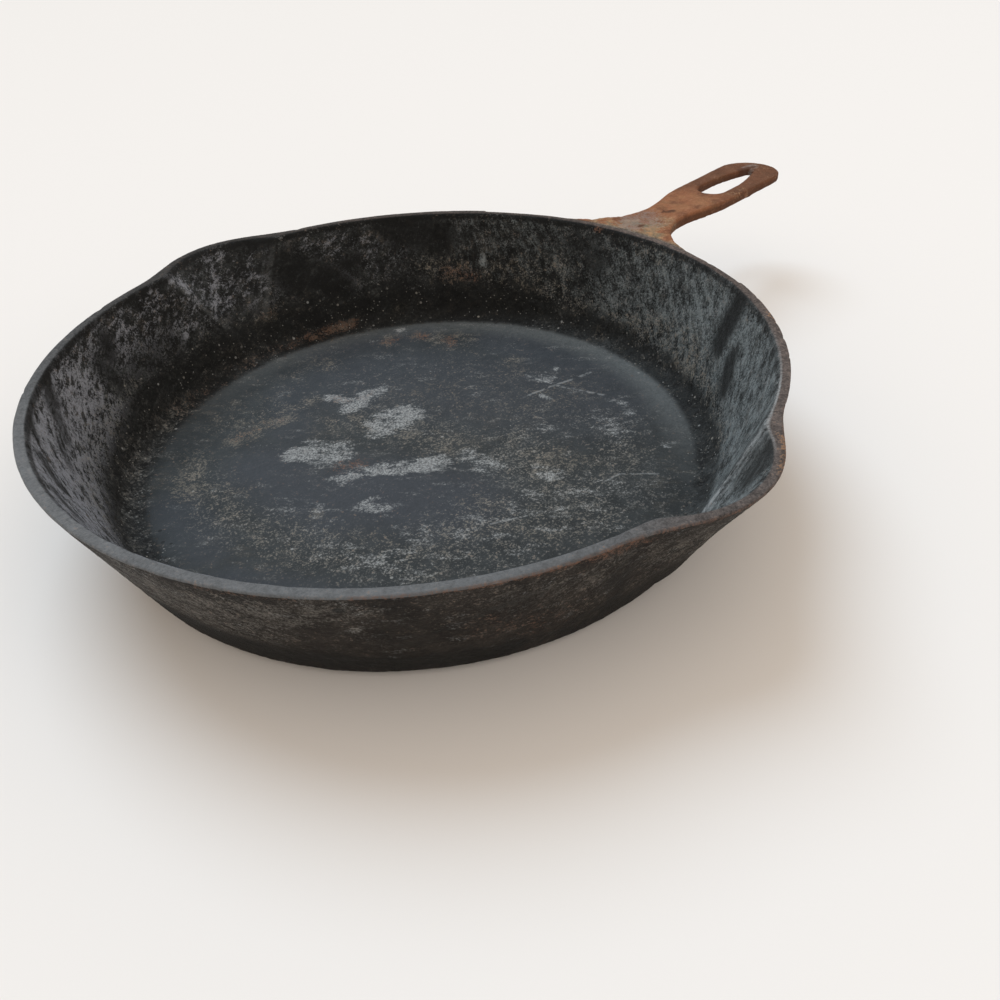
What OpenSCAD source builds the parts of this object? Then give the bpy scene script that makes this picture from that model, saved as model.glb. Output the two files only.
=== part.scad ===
// Cast iron frying pan, poured in one piece: a round bowl with a leaning wall, two pouring spouts, and a
// flat handle with a hanging eye. The origin is the middle of the flat underside, the handle points along
// +X, and the spouts point along +Y and -Y.

/* [Bowl] */
// Diameter over the rim, without the spouts
rim_d = 267; // [220:1:320]
// Height from the underside to the rim
pan_h = 51; // [42:1:62]
// Slope of the side wall, measured up from the underside
wall_angle = 70; // [66:1:76]
// Thickness of the side wall
wall_t = 3.7; // [3:0.1:5]
// Thickness of the floor
floor_t = 4.3; // [3:0.1:6]
// Radius between the underside and the outside of the wall
foot_r = 7; // [4:0.5:10]
// Radius between the floor and the inside of the wall
corner_r = 8; // [5:0.5:12]
// Width of the broken edges along the rim
rim_edge = 0.8; // [0.3:0.1:1.2]

/* [Pouring spouts] */
// How far a spout's lip reaches past the rim
spout_reach = 10.5; // [7:0.5:13]
// Radius of a spout's lip, seen from above
spout_r = 38.7; // [32:0.1:44]
// Height above the underside at which a spout dies into the wall
spout_foot = 11; // [10:0.5:18]

/* [Handle] */
// How far the handle's tip reaches past the rim
handle_l = 125.5; // [100:0.5:150]
// Width of the handle at its rounded end
handle_w = 32; // [27:0.5:38]
// Width of the handle at its shoulder, where the eye starts
shoulder_w = 30; // [25:0.5:32]
// Width of the handle at its neck
neck_w = 20.4; // [14:0.2:24]
// Thickness of the handle
handle_t = 5.2; // [4.5:0.1:8]
// Drop from the rim to the handle's flat top
handle_drop = 1.2; // [1:0.1:4]
// Distance from the rim to the narrowest part of the neck
neck_out = 33; // [28:0.5:42]
// Distance from the neck to the shoulder
shoulder_out = 31; // [24:0.5:40]
// Radius of the webs that spread from the neck to the rim
web_r = 33; // [28:1:44]

/* [Hanging eye] */
// Length of the eye along the handle
eye_l = 46.5; // [34:0.5:50]
// Width of the eye
eye_w = 15; // [12:0.5:18]
// Radius of the eye's narrow end
eye_tip_r = 2.5; // [2:0.5:5]
// Iron left between the eye and the handle's tip
eye_margin = 12; // [10:0.5:18]

/* [Hidden] */
$fn = 96;
over = 1;                                   // how far a cut runs past the face it opens
rim_r = rim_d / 2;
lean = 1 / tan(wall_angle);                 // outward run of the wall for each mm of height
wall_run = wall_t / sin(wall_angle);        // the wall's thickness, measured level
base_r = rim_r - pan_h * lean;              // where the wall's outside would meet the underside
inner_r = rim_r - wall_run;                 // the wall's inside, at the rim
spout_spread = lean + spout_reach / (pan_h - spout_foot);   // growth of a spout's radius with height
spout_wall = wall_t * norm([1, spout_spread]);              // a spout's wall, measured level
spout_x = rim_r + spout_reach - spout_r;    // how far a spout's upright axis lies from the middle
channel_z = floor_t + 2;                    // a channel starts inside the bowl, just above its floor
tip_x = rim_r + handle_l;
neck_x = rim_r + neck_out;
shoulder_x = neck_x + shoulder_out;
end_x = tip_x - handle_w / 2;               // middle of the handle's rounded end
handle_top = pan_h - handle_drop;
web_y = neck_w / 2 + web_r;                 // a web's hollow side is an arc about (neck_x, web_y)
web_sink = 3.5;                             // how deep a web's straight stretch runs into the wall
web_bearing = atan2(web_y, neck_x);         // direction of that arc's middle, seen from the bowl's
// The web's straight stretch leaves the wall at this direction. A web too round to need one has none.
web_turn = web_bearing + acos(min(1, (rim_r - web_sink + web_r) / norm([neck_x, web_y])));
eye_x = tip_x - eye_margin - eye_l;         // the eye's round end
eye_waist = 0.5 * eye_l;                    // the eye keeps its width for this share of its length
side_steps = 12;

// Cuts the outside of a corner in a section down to a true arc. The corner's sides leave it at angles a and b.
module corner_waste(corner, r, a, b) {
  half = (b - a) / 2;
  reach = r / tan(half);
  centre = corner + r / sin(half) * [cos(a + half), sin(a + half)];
  difference() {
    polygon([corner, corner + reach * [cos(a), sin(a)], centre, corner + reach * [cos(b), sin(b)]]);
    translate(centre) circle(r);
  }
}

// Outside of the bowl, from its middle line to the leaning wall
module bowl_section() {
  difference() {
    polygon([
      [0, 0], [base_r, 0],
      [rim_r - rim_edge * lean, pan_h - rim_edge], [rim_r - rim_edge, pan_h],
      [0, pan_h]
    ]);
    corner_waste([base_r, 0], foot_r, wall_angle, 180);
  }
}

// The bowl's hollow, open through the rim
module hollow_section() {
  floor_r = inner_r - (pan_h - floor_t) * lean;
  difference() {
    polygon([
      [0, floor_t], [floor_r, floor_t],
      [inner_r - rim_edge * lean, pan_h - rim_edge], [inner_r + rim_edge, pan_h],
      [inner_r + rim_edge, pan_h + over], [0, pan_h + over]
    ]);
    corner_waste([floor_r, floor_t], corner_r, wall_angle, 180);
  }
}

// A spout is an upright cone that breaks out through the wall. This is its section, of radius r at the rim,
// from the cone's point or from foot_z, whichever is higher, up to top_z. Its edge at the rim is broken
// inwards on the body and outwards on the channel, as the sign of edge says.
module spout_section(r, foot_z, top_z, edge) {
  intersection() {
    polygon([
      [0, pan_h - r / spout_spread], [r - rim_edge * spout_spread, pan_h - rim_edge],
      [r + edge, pan_h], [r + edge, top_z], [0, top_z]
    ]);
    translate([0, foot_z]) square([2 * r, pan_h]);
  }
}

module spout_body() {
  color("#34363a") translate([spout_x, 0]) rotate_extrude()
    spout_section(spout_r, floor_t, pan_h, -rim_edge);
}

module spout_channel() {
  color("#3f464c") translate([spout_x, 0]) rotate_extrude()
    spout_section(spout_r - spout_wall, channel_z, pan_h + over, rim_edge);
}

// Half the width of the handle between its neck and its shoulder, where t runs from 0 to 1
function side_y(t) = neck_w / 2 + (shoulder_w - neck_w) / 4 * (1 - cos(180 * t));

// One side of the handle: straight out of the wall, round the web, along the S of the neck to the end
module handle_side() {
  difference() {
    polygon(concat(
      [[0, 0], (rim_r - web_sink) * [cos(web_turn), sin(web_turn)]],
      [[neck_x, web_y] - web_r * [cos(web_turn), sin(web_turn)]],
      [for (i = [0 : side_steps]) [neck_x + shoulder_out * i / side_steps, side_y(i / side_steps)]],
      [[end_x, handle_w / 2], [end_x, 0]]
    ));
    translate([neck_x, web_y]) circle(web_r);
  }
}

// The eye: round towards the bowl, straight along its sides, narrow towards the tip
module eye_outline() {
  far_x = eye_x + eye_l - eye_tip_r;
  translate([eye_x + eye_w / 2, 0]) circle(eye_w / 2);
  polygon([
    [eye_x + eye_w / 2, -eye_w / 2], [eye_x + eye_waist, -eye_w / 2], [far_x, -eye_tip_r],
    [far_x, eye_tip_r], [eye_x + eye_waist, eye_w / 2], [eye_x + eye_w / 2, eye_w / 2]
  ]);
  translate([far_x, 0]) circle(eye_tip_r);
}

module handle() {
  color("#8a5f45") translate([0, 0, handle_top - handle_t]) linear_extrude(handle_t) difference() {
    union() {
      handle_side();
      mirror([0, 1]) handle_side();
      translate([end_x, 0]) circle(handle_w / 2);
    }
    eye_outline();
  }
}

module skillet() {
  difference() {
    union() {
      color("#2f3133") rotate_extrude() bowl_section();
      for (side = [90, -90]) rotate(side) spout_body();
      handle();
    }
    color("#3d444a") rotate_extrude() hollow_section();
    for (side = [90, -90]) rotate(side) spout_channel();
  }
}

skillet();
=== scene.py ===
import bpy
import math
import numpy as np
from mathutils import Euler, Matrix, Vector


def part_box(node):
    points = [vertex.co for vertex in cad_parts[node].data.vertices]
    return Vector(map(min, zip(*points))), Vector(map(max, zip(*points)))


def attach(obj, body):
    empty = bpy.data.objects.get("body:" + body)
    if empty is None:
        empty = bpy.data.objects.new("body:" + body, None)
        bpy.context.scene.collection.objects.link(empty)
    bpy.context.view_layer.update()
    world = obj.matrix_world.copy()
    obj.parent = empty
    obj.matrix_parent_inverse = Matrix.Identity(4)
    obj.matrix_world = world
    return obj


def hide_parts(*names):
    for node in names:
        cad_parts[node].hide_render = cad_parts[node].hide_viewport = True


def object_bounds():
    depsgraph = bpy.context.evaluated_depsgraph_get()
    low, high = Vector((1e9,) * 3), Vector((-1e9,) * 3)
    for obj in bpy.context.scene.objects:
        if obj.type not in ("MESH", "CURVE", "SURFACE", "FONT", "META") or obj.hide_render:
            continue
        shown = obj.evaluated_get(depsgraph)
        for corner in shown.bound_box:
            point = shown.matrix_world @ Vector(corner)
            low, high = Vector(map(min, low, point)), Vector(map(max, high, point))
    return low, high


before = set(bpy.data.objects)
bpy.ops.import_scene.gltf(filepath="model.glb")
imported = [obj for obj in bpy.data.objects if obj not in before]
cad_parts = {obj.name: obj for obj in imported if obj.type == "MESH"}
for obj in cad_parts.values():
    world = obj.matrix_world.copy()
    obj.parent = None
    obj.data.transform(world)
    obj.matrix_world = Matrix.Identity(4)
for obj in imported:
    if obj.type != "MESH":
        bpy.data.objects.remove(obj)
cadBox = [list(corner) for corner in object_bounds()]
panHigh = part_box("skillet")[1]
mm = 0.001

view = {
    "place": (-0.17, -0.2121, 0.1869),
    "heading": 45.0,     # degrees from +Y round towards +X
    "down": 38.44,
    "roll": -3.165,
    "lens": 29.18,
}


def addCamera():
    bpy.ops.object.camera_add(location=view["place"])
    cam = bpy.context.object
    turn = Euler((math.radians(90 - view["down"]), 0, math.radians(-view["heading"])))
    roll = Matrix.Rotation(math.radians(view["roll"]), 4, "Z")
    cam.matrix_world = Matrix.Translation(view["place"]) @ turn.to_matrix().to_4x4() @ roll
    cam.data.lens = view["lens"]
    cam.data.clip_start = 0.01
    bpy.context.scene.camera = cam
    print("camera placed")


studio = {
    "floorSize": 12.0,
    "floorColour": (0.785, 0.765, 0.745),
    "skyColour": (1.0, 0.885, 0.77),
    "skyStrength": 0.83,
    "daylightFrom": 14.0,      # degrees from +Y round towards +X
    "daylightHeight": 52.0,    # degrees above the floor
    "daylightSpread": 36.0,
    "daylightPower": 1.86,
    "daylightColour": (0.63, 0.82, 1.0),
    "fillPlace": (0.6, -2.6, 1.8),
    "fillSize": 2.5,
    "fillPower": 12.0,
    "fillColour": (0.95, 0.96, 1.0),
}


def addStudio():
    bpy.ops.mesh.primitive_plane_add(size=studio["floorSize"], location=(0, 0, -0.2 * mm))
    ground = bpy.context.object
    ground.name = "floor"
    cloth = bpy.data.materials.new("paleFloor")
    cloth.use_nodes = True
    shader = cloth.node_tree.nodes["Principled BSDF"]
    shader.inputs["Base Color"].default_value = (*studio["floorColour"], 1)
    shader.inputs["Roughness"].default_value = 1.0
    shader.inputs["Specular IOR Level"].default_value = 0.0
    ground.data.materials.append(cloth)

    tilt = math.radians(90 - studio["daylightHeight"])
    bpy.ops.object.light_add(type="SUN", rotation=(-tilt, 0, -math.radians(studio["daylightFrom"])))
    daylight = bpy.context.object.data
    daylight.angle = math.radians(studio["daylightSpread"])
    daylight.energy = studio["daylightPower"]
    daylight.color = studio["daylightColour"]

    bpy.ops.object.light_add(type="AREA", location=studio["fillPlace"])
    fill = bpy.context.object
    fill.rotation_euler = fill.location.to_track_quat("Z", "Y").to_euler()
    fill.data.size = studio["fillSize"]
    fill.data.energy = studio["fillPower"]
    fill.data.color = studio["fillColour"]

    world = bpy.data.worlds.new("studioAir")
    bpy.context.scene.world = world
    world.use_nodes = True
    sky = world.node_tree.nodes["Background"]
    sky.inputs["Color"].default_value = (*studio["skyColour"], 1)
    sky.inputs["Strength"].default_value = studio["skyStrength"]
    bpy.context.scene.view_settings.view_transform = "Standard"
    print("studio ready")


bowl = {
    "rimRadius": 133.5 * mm,
    "height": panHigh[2],
    "slope": 70.0,          # of the wall, in degrees
    "wall": 3.7 * mm,
    "floor": 4.3 * mm,
    "footRadius": 7 * mm,
    "cornerRadius": 8 * mm,
    "rimEdge": 0.5 * mm,
    "steps": 720,           # round the rim
    "ringGap": 1.6 * mm,    # up the wall
    "arcPoints": 9,         # in the foot and in the inner corner
}

spouts = {
    "lipRadius": 38.7 * mm,
    "lipWall": 3.1 * mm,
    "tip": 144 * mm,            # how far a lip reaches from the middle of the bowl
    "foot": 11 * mm,            # height at which a spout dies into the wall
    "notchBlend": 9 * mm,       # soft hollow outside, where rim turns into lip
    "ridgeBlend": 2.5 * mm,     # worn ridge inside
    "felt": math.radians(40),   # the wall is only touched this far round from a spout's middle
}

lean = 1 / math.tan(math.radians(bowl["slope"]))
innerRim = bowl["rimRadius"] - bowl["wall"] / math.sin(math.radians(bowl["slope"]))
spoutReach = spouts["tip"] - bowl["rimRadius"]
spoutSpread = lean + spoutReach / (bowl["height"] - spouts["foot"])
spoutAxis = spouts["tip"] - spouts["lipRadius"]
channelRadius = spouts["lipRadius"] - spouts["lipWall"] * math.hypot(1, spoutSpread)


# radius and height pairs from the corner arc's start on the flat up to the broken rim edge
def wallStations(rimRadius, bottom, cornerRadius):
    top = bowl["height"]
    foot = rimRadius - (top - bottom) * lean
    half = math.radians(180 - bowl["slope"]) / 2
    middle = (foot - cornerRadius / math.tan(half), bottom + cornerRadius)
    arc = [math.radians(a) for a in np.linspace(-90, -90 + bowl["slope"], bowl["arcPoints"])]
    found = [(middle[0] + cornerRadius * math.cos(a), middle[1] + cornerRadius * math.sin(a)) for a in arc]
    straightTop = top - bowl["rimEdge"]
    count = round((straightTop - found[-1][1]) / bowl["ringGap"])
    for z in np.linspace(found[-1][1], straightTop, count + 1)[1:]:
        found.append((rimRadius - (top - z) * lean, z))
    return found


# the selected open ring is copied, scaled about the bowl's axis and lifted
def pullRing(radius, height, state):
    bpy.ops.mesh.extrude_edges_move()
    factor = radius / state[0]
    bpy.ops.transform.resize(value=(factor, factor, 1), center_override=(0, 0, 0))
    bpy.ops.transform.translate(value=(0, 0, height - state[1]))
    return radius, height


def smoothUnion(a, b, blend):
    closeness = np.maximum(blend - np.abs(a - b), 0)
    return np.minimum(a, b) - closeness ** 2 / (4 * blend)


# where a ray at this turn from a spout's middle line leaves the wall or the spout's cone
def spoutedRadius(turn, wallRadius, coneRadius, blend):
    low = np.full_like(turn, 90 * mm)
    high = np.full_like(turn, 160 * mm)
    for _ in range(26):     # halvings
        r = (low + high) / 2
        toCone = np.sqrt(r * r + spoutAxis ** 2 - 2 * r * spoutAxis * np.cos(turn)) - coneRadius
        inside = smoothUnion(r - wallRadius, toCone, blend) < 0
        low = np.where(inside, r, low)
        high = np.where(inside, high, r)
    return (low + high) / 2


def readPoints(piece):
    co = np.empty(len(piece.data.vertices) * 3)
    piece.data.vertices.foreach_get("co", co)
    return co.reshape(-1, 3)


def writePoints(piece, co):
    piece.data.vertices.foreach_set("co", co.ravel())
    piece.data.update()


# each point's radius and turn from the nearer spout, and the wall's two faces there, plain and with spouts
def wallFaces(co):
    radius = np.hypot(co[:, 0], co[:, 1])
    turn = np.abs(np.arctan2(co[:, 0], np.abs(co[:, 1])))
    depth = bowl["height"] - co[:, 2]
    outWall = bowl["rimRadius"] - depth * lean
    inWall = innerRim - depth * lean
    outCone = np.maximum(spouts["lipRadius"] - depth * spoutSpread, 0)
    inCone = np.maximum(channelRadius - depth * spoutSpread, 0)
    outNew = spoutedRadius(turn, outWall, outCone, spouts["notchBlend"])
    inNew = spoutedRadius(turn, inWall, inCone, spouts["ridgeBlend"])
    return radius, turn, (inWall, outWall), (inNew, outNew)


# every ring of the wall is pushed out to the spouts' cones, but low on the foot it keeps its own arc
def pressSpouts(pan):
    co = readPoints(pan)
    radius, turn, (inWall, outWall), (inNew, outNew) = wallFaces(co)
    share = np.clip((radius - inWall) / (outWall - inWall), -1, 2)
    moved = inNew + share * (outNew - inNew)
    near = (turn < spouts["felt"]) & (co[:, 2] > bowl["floor"] + 2 * mm) & (radius > 100 * mm)
    co[:, :2] *= np.where(near, moved / np.maximum(radius, mm), 1)[:, None]
    writePoints(pan, co)


def makeBowl():
    outer = wallStations(bowl["rimRadius"], 0, bowl["footRadius"])
    inner = wallStations(innerRim, bowl["floor"], bowl["cornerRadius"])
    bpy.ops.mesh.primitive_circle_add(vertices=bowl["steps"], radius=outer[0][0], fill_type="NGON")
    pan = bpy.context.object
    pan.name = "pan"
    bpy.ops.object.mode_set(mode="EDIT")
    bpy.ops.mesh.select_all(action="SELECT")
    bpy.ops.mesh.select_mode(type="EDGE")
    state = (outer[0][0], 0)
    edge = bowl["rimEdge"]
    rim = [(bowl["rimRadius"] - edge, bowl["height"]), (innerRim + edge, bowl["height"])]
    for radius, height in outer[1:] + rim + inner[::-1]:
        state = pullRing(radius, height, state)
    bpy.ops.mesh.edge_face_add()
    bpy.ops.mesh.select_all(action="SELECT")
    bpy.ops.mesh.normals_make_consistent(inside=False)
    bpy.ops.object.mode_set(mode="OBJECT")
    pressSpouts(pan)
    print("bowl spun and spouts pressed:", len(pan.data.vertices), "vertices")
    return pan


handle = {
    "tip": panHigh[0],
    "endWidth": 32 * mm,
    "shoulderWidth": 30 * mm,
    "neckWidth": 20.4 * mm,
    "neckThickness": 5.4 * mm,
    "tipThickness": 3.6 * mm,
    "drop": 1.2 * mm,           # from the rim down to the handle's flat top
    "neckOut": 31.5 * mm,       # from the rim to the neck
    "shoulderOut": 32.5 * mm,   # from the neck to the shoulder
    "webRadius": 33 * mm,
    "webSink": 3.5 * mm,        # how far the webs reach into the wall
    "side": 0.9 * mm,           # the whole handle sits this far off the bowl's middle line
    "least": 0.6 * mm,          # half width at the very tip
    "startShare": 0.86,
    "stations": 110,
}

eye = {
    "length": 46.5 * mm,
    "width": 14.6 * mm,
    "tipRadius": 2.5 * mm,
    "margin": 12 * mm,          # iron left between the eye and the tip
    "waist": 0.35,              # share of its length over which it keeps its width
    "narrowing": 1.6,           # 1 would be a straight taper to the tip
    "least": 0.4 * mm,          # half width at its very ends
    "stations": 70,
}

neckX = bowl["rimRadius"] + handle["neckOut"]
handleTop = bowl["height"] - handle["drop"]
handleMiddle = handleTop - handle["neckThickness"] / 2
eyeStart = handle["tip"] - eye["margin"] - eye["length"]


# straight web, web arc, S of the neck, long side, round end
def handleHalfWidth(x):
    webY = handle["neckWidth"] / 2 + handle["webRadius"]
    sunk = bowl["rimRadius"] - handle["webSink"]
    turn = math.atan2(webY, neckX) + math.acos((sunk + handle["webRadius"]) / math.hypot(neckX, webY))
    arcStart = neckX - handle["webRadius"] * math.cos(turn)
    endRadius = handle["endWidth"] / 2
    endX = handle["tip"] - endRadius
    shoulderX = neckX + handle["shoulderOut"]
    if x < arcStart:
        return (sunk - x * math.cos(turn)) / math.sin(turn)
    if x < neckX:
        return webY - math.sqrt(handle["webRadius"] ** 2 - (neckX - x) ** 2)
    if x < shoulderX:
        swing = 1 - math.cos(math.pi * (x - neckX) / handle["shoulderOut"])
        return handle["neckWidth"] / 2 + (handle["shoulderWidth"] - handle["neckWidth"]) / 4 * swing
    if x < endX:
        along = (x - shoulderX) / (endX - shoulderX)
        return (handle["shoulderWidth"] + along * (handle["endWidth"] - handle["shoulderWidth"])) / 2
    return math.sqrt(max(endRadius ** 2 - (x - endX) ** 2, handle["least"] ** 2))


def eyeHalfWidth(x):
    round0 = eyeStart + eye["width"] / 2
    waist = eyeStart + eye["waist"] * eye["length"]
    tip = eyeStart + eye["length"] - eye["tipRadius"]
    if x < round0:
        return math.sqrt(max((eye["width"] / 2) ** 2 - (round0 - x) ** 2, eye["least"] ** 2))
    if x < waist:
        return eye["width"] / 2
    if x < tip:
        along = ((x - waist) / (tip - waist)) ** eye["narrowing"]
        return eye["width"] / 2 + along * (eye["tipRadius"] - eye["width"] / 2)
    return math.sqrt(max(eye["tipRadius"] ** 2 - (x - tip) ** 2, eye["least"] ** 2))


# an upright end face is drawn out along X, and its width and depth change at each station
def pullBar(name, stations, halfWidth, top, thickness):
    bpy.ops.object.select_all(action="DESELECT")
    deep = thickness(stations[0])
    bpy.ops.mesh.primitive_plane_add(
        size=1, location=(stations[0], 0, top - 0.5), rotation=(0, math.radians(90), 0))
    bar = bpy.context.object
    bar.name = name
    bpy.ops.object.transform_apply(location=True, rotation=True, scale=True)
    bpy.ops.object.mode_set(mode="EDIT")
    bpy.ops.mesh.select_all(action="SELECT")
    bpy.ops.transform.resize(
        value=(1, 2 * halfWidth(stations[0]), deep), center_override=(stations[0], 0, top))
    for last, x in zip(stations, stations[1:]):
        bpy.ops.mesh.extrude_region_move()
        bpy.ops.transform.translate(value=(x - last, 0, 0))
        wider = halfWidth(x) / halfWidth(last)
        deeper = thickness(x) / thickness(last)
        bpy.ops.transform.resize(value=(1, wider, deeper), center_override=(x, 0, top))
    bpy.ops.mesh.select_all(action="SELECT")
    bpy.ops.mesh.normals_make_consistent(inside=False)
    bpy.ops.object.mode_set(mode="OBJECT")
    return bar


def cutOrJoin(piece, tool, operation):
    bpy.context.view_layer.objects.active = piece
    change = piece.modifiers.new("joint", "BOOLEAN")
    change.operation = operation
    change.solver = "EXACT"
    change.object = tool
    bpy.ops.object.modifier_apply(modifier=change.name)
    bpy.data.objects.remove(tool)


# closer and closer towards both ends
def roundedStations(low, high, count):
    evenShare = 0.35
    turn = np.linspace(0, math.pi, count)
    even = np.linspace(low, high, count)
    crowded = low + (high - low) * (1 - np.cos(turn)) / 2
    return list(evenShare * even + (1 - evenShare) * crowded)


def handleThickness(x):
    return float(np.interp(x, [neckX - 10 * mm, handle["tip"]],
                           [handle["neckThickness"], handle["tipThickness"]]))


def makeHandle():
    # the bar starts well inside the bowl and is cut back to the wall below
    start = (bowl["rimRadius"] - handle["webSink"]) * handle["startShare"]
    bar = pullBar("handle", roundedStations(start, handle["tip"], handle["stations"]),
                  handleHalfWidth, handleTop, handleThickness)
    cutter = pullBar("eyeCutter", roundedStations(eyeStart, eyeStart + eye["length"], eye["stations"]),
                     eyeHalfWidth, handleTop + 10 * mm, lambda x: 30 * mm)
    cutOrJoin(bar, cutter, "DIFFERENCE")
    bar.location.y = handle["side"]
    # the bar's inner end follows the middle of the wall, so nothing stands into the bowl
    depth = 30 * mm
    middleRadius = (bowl["rimRadius"] + innerRim) / 2 - (bowl["height"] - handleMiddle) * lean
    bpy.ops.mesh.primitive_cone_add(
        vertices=bowl["steps"], depth=depth, location=(0, 0, handleMiddle),
        radius1=middleRadius - depth / 2 * lean, radius2=middleRadius + depth / 2 * lean)
    plug = bpy.context.object
    bpy.ops.object.transform_apply(location=True, rotation=True, scale=True)
    cutOrJoin(bar, plug, "DIFFERENCE")
    print("handle drawn out:", len(bar.data.vertices), "vertices")
    return bar


skin = {
    "voxel": 0.66 * mm,         # size of its faces
    "rimSmooth": 1,             # times each part is smoothed
    "handleSmooth": 9,
    "rootSmooth": 30,
    "weightSteps": 20,
    "mostTriangles": 190000,
}


# 0 below low, 1 above high, with soft ends
def ramp(value, low, high):
    t = np.clip((value - low) / (high - low), 0, 1)
    return t * t * (3 - 2 * t)


def addGroup(piece, name, weights):
    group = piece.vertex_groups.new(name=name)
    most = skin["weightSteps"]
    steps = np.round(weights * most).astype(int)
    for step in range(1, most + 1):
        group.add(np.flatnonzero(steps == step).tolist(), step / most, "REPLACE")


def useModifier(piece, kind, **settings):
    change = piece.modifiers.new(kind.lower(), kind)
    for key, value in settings.items():
        setattr(change, key, value)
    bpy.context.view_layer.objects.active = piece
    bpy.ops.object.modifier_apply(modifier=change.name)


# an even skin over the whole casting, laid back on the exact shape
def growSkin(pan):
    pattern = pan.copy()
    pattern.data = pan.data.copy()
    bpy.context.collection.objects.link(pattern)
    useModifier(pan, "REMESH", mode="VOXEL", voxel_size=skin["voxel"], adaptivity=0)
    useModifier(pan, "SHRINKWRAP", target=pattern, wrap_method="NEAREST_SURFACEPOINT")
    bpy.data.objects.remove(pattern)
    co = readPoints(pan)
    radius = np.hypot(co[:, 0], co[:, 1])
    # past the rim the edges are worn round, most of all in the corners of the handle's root
    onHandle = (co[:, 0] > 100 * mm) & (np.abs(co[:, 1]) < 70 * mm)
    past = np.where(onHandle, radius - bowl["rimRadius"], -1)
    root = ramp(past, -2.4 * mm, -0.2 * mm) * (1 - ramp(past, 5 * mm, 11 * mm)) * (co[:, 2] > 30 * mm)
    addGroup(pan, "handle", ramp(past, 4 * mm, 12 * mm))
    addGroup(pan, "root", root)
    for count, group in (("rimSmooth", ""), ("handleSmooth", "handle"), ("rootSmooth", "root")):
        useModifier(pan, "SMOOTH", factor=0.5, iterations=skin[count], vertex_group=group)
    print("skin grown:", len(pan.data.polygons), "faces")


def thinSkin(pan):
    triangles = sum(len(face.vertices) - 2 for face in pan.data.polygons)
    if triangles > skin["mostTriangles"]:
        useModifier(pan, "DECIMATE", ratio=skin["mostTriangles"] / triangles)
    print("skin thinned:", len(pan.data.polygons), "faces")


# how far across the wall each point lies, from 0 on the inner face to 1 on the outer
def wallPlace(co):
    radius, turn, (inWall, outWall), (inNew, outNew) = wallFaces(co)
    near = (turn < spouts["felt"]) & (co[:, 2] > 6 * mm)
    inFace = np.where(near, inNew, inWall)
    outFace = np.where(near, outNew, outWall)
    return (radius - inFace) / (outFace - inFace)


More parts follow.
